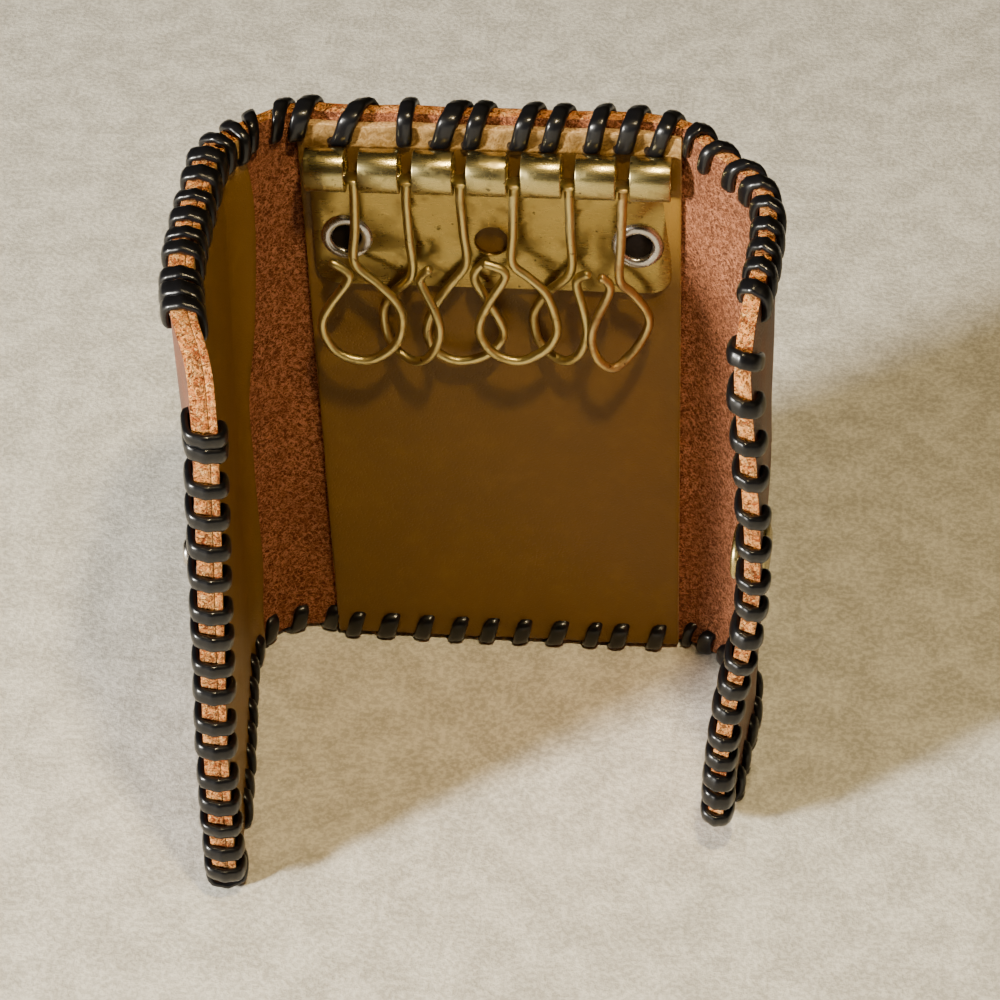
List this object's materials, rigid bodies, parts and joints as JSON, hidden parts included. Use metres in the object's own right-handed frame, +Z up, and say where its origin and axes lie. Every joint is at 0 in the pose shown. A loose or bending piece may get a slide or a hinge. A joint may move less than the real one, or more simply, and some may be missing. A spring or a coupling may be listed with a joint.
{
  "type": "key case",
  "caption": "Key case of laced leather, standing open on its lower edge: two folding flaps with a snap, and wire key hooks on a rolled brass bar.",
  "frame": {"origin": "centre of the bounding box, at the level that the case stands on", "axes": "+Z up along the case's height, +X to the right as seen from the open side, -Y towards the viewer, out of the open side"},
  "size_m": [0.0796, 0.0596, 0.0958],
  "materials": {
    "suede": "nap",
    "lining": "satin",
    "lace": "gloss",
    "brass": "satin",
    "nickel": "satin"
  },
  "bodies": {
    "case_back": {"cover_back": "suede", "centre_lining": "lining", "key_plate": "brass", "plate_eyelets": "nickel", "lace_back_top": "lace", "lace_back_bottom": "lace"},
    "left_bend": {"cover_left_bend": "suede", "fold_left": "suede", "lace_left_bend": "lace"},
    "left_flap": {"cover_left_flap": "suede", "lining_left": "lining", "lace_left_top": "lace", "lace_left_front": "lace", "lace_left_bottom": "lace", "snap_stud": "nickel", "stud_post": "nickel"},
    "right_bend": {"cover_right_bend": "suede", "fold_right": "suede", "lace_right_bend": "lace"},
    "right_flap": {"cover_right_flap": "suede", "lace_right_top": "lace", "lace_right_front": "lace", "lace_right_bottom": "lace", "snap_socket": "brass", "snap_cap": "brass"},
    "key_hook_1": {"hook_1": "brass"},
    "key_hook_2": {"hook_2": "brass"},
    "key_hook_3": {"hook_3": "brass"},
    "key_hook_4": {"hook_4": "brass"},
    "key_hook_5": {"hook_5": "brass"},
    "key_hook_6": {"hook_6": "brass"}
  },
  "joints": [
    {"name": "left_inner_fold", "type": "hinge", "parent": "case_back", "child": "left_bend", "pos_m": [-0.02934, 0.02696, 0.0479], "axis": [0, 0, 1], "range_deg": [-53.75, 46.51], "deforming": ["fold_left"]},
    {"name": "left_outer_fold", "type": "hinge", "parent": "left_bend", "child": "left_flap", "pos_m": [-0.03671, 0.01998, 0.0479], "axis": [0, 0, 1], "range_deg": [-42.77, 37.01], "deforming": ["fold_left"]},
    {"name": "right_inner_fold", "type": "hinge", "parent": "case_back", "child": "right_bend", "pos_m": [0.02821, 0.02698, 0.0479], "axis": [0, 0, -1], "range_deg": [-60.82, 52.04], "deforming": ["fold_right"]},
    {"name": "right_outer_fold", "type": "hinge", "parent": "right_bend", "child": "right_flap", "pos_m": [0.03735, 0.01212, 0.0479], "axis": [0, 0, -1], "range_deg": [-36.2, 30.98], "deforming": ["fold_right"]},
    {"name": "hook_swing_1", "type": "hinge", "parent": "case_back", "child": "key_hook_1", "pos_m": [-0.01802, 0.02269, 0.088], "axis": [-1, 0, 0], "range_deg": [0, 165]},
    {"name": "hook_swing_2", "type": "hinge", "parent": "case_back", "child": "key_hook_2", "pos_m": [-0.01077, 0.02269, 0.088], "axis": [-1, 0, 0], "range_deg": [0, 165]},
    {"name": "hook_swing_3", "type": "hinge", "parent": "case_back", "child": "key_hook_3", "pos_m": [-0.00352, 0.02269, 0.088], "axis": [-1, 0, 0], "range_deg": [0, 165]},
    {"name": "hook_swing_4", "type": "hinge", "parent": "case_back", "child": "key_hook_4", "pos_m": [0.00373, 0.02269, 0.088], "axis": [-1, 0, 0], "range_deg": [0, 165]},
    {"name": "hook_swing_5", "type": "hinge", "parent": "case_back", "child": "key_hook_5", "pos_m": [0.01098, 0.02269, 0.088], "axis": [-1, 0, 0], "range_deg": [0, 165]},
    {"name": "hook_swing_6", "type": "hinge", "parent": "case_back", "child": "key_hook_6", "pos_m": [0.01823, 0.02269, 0.088], "axis": [-1, 0, 0], "range_deg": [0, 165]}
  ],
  "couplings": [
    {"joint": "left_outer_fold", "follows": "left_inner_fold", "ratio": 0.79533},
    {"joint": "right_outer_fold", "follows": "right_inner_fold", "ratio": 0.5949},
    {"joint": "hook_swing_2", "follows": "hook_swing_1", "ratio": 1},
    {"joint": "hook_swing_3", "follows": "hook_swing_1", "ratio": 1},
    {"joint": "hook_swing_4", "follows": "hook_swing_1", "ratio": 1},
    {"joint": "hook_swing_5", "follows": "hook_swing_1", "ratio": 1},
    {"joint": "hook_swing_6", "follows": "hook_swing_1", "ratio": 1}
  ]
}
